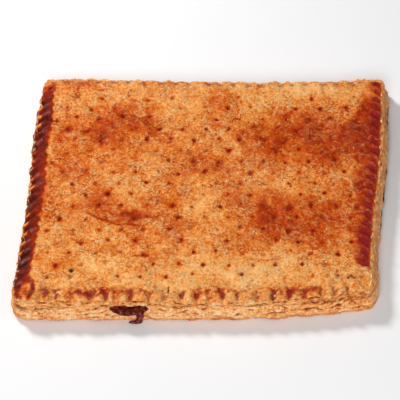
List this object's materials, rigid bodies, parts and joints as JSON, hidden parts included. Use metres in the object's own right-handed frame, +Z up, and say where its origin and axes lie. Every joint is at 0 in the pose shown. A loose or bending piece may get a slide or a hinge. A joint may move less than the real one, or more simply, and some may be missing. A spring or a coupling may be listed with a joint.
{
  "type": "empanada",
  "caption": "Whole flat rectangular empanada with a golden, pricked flaky top, dark crimped rims, layered sides and burnt filling bursting from the front seam.",
  "frame": {"origin": "on the underside, under the middle of the bounding box", "axes": "+X along the long front edge to the right, +Y from the front edge to the back edge, +Z up through the top crust"},
  "size_m": [0.321, 0.2754, 0.026],
  "materials": {
    "pale_crust": "matt pale golden flaky pastry",
    "burnt_filling": "dark caramelised filling, slightly glossy",
    "golden_crust": "golden brown egg-washed pastry, satin"
  },
  "bodies": {
    "root": {"bottom_crust": "pale_crust", "filling": "burnt_filling", "top_crust": "golden_crust"}
  },
  "joints": []
}
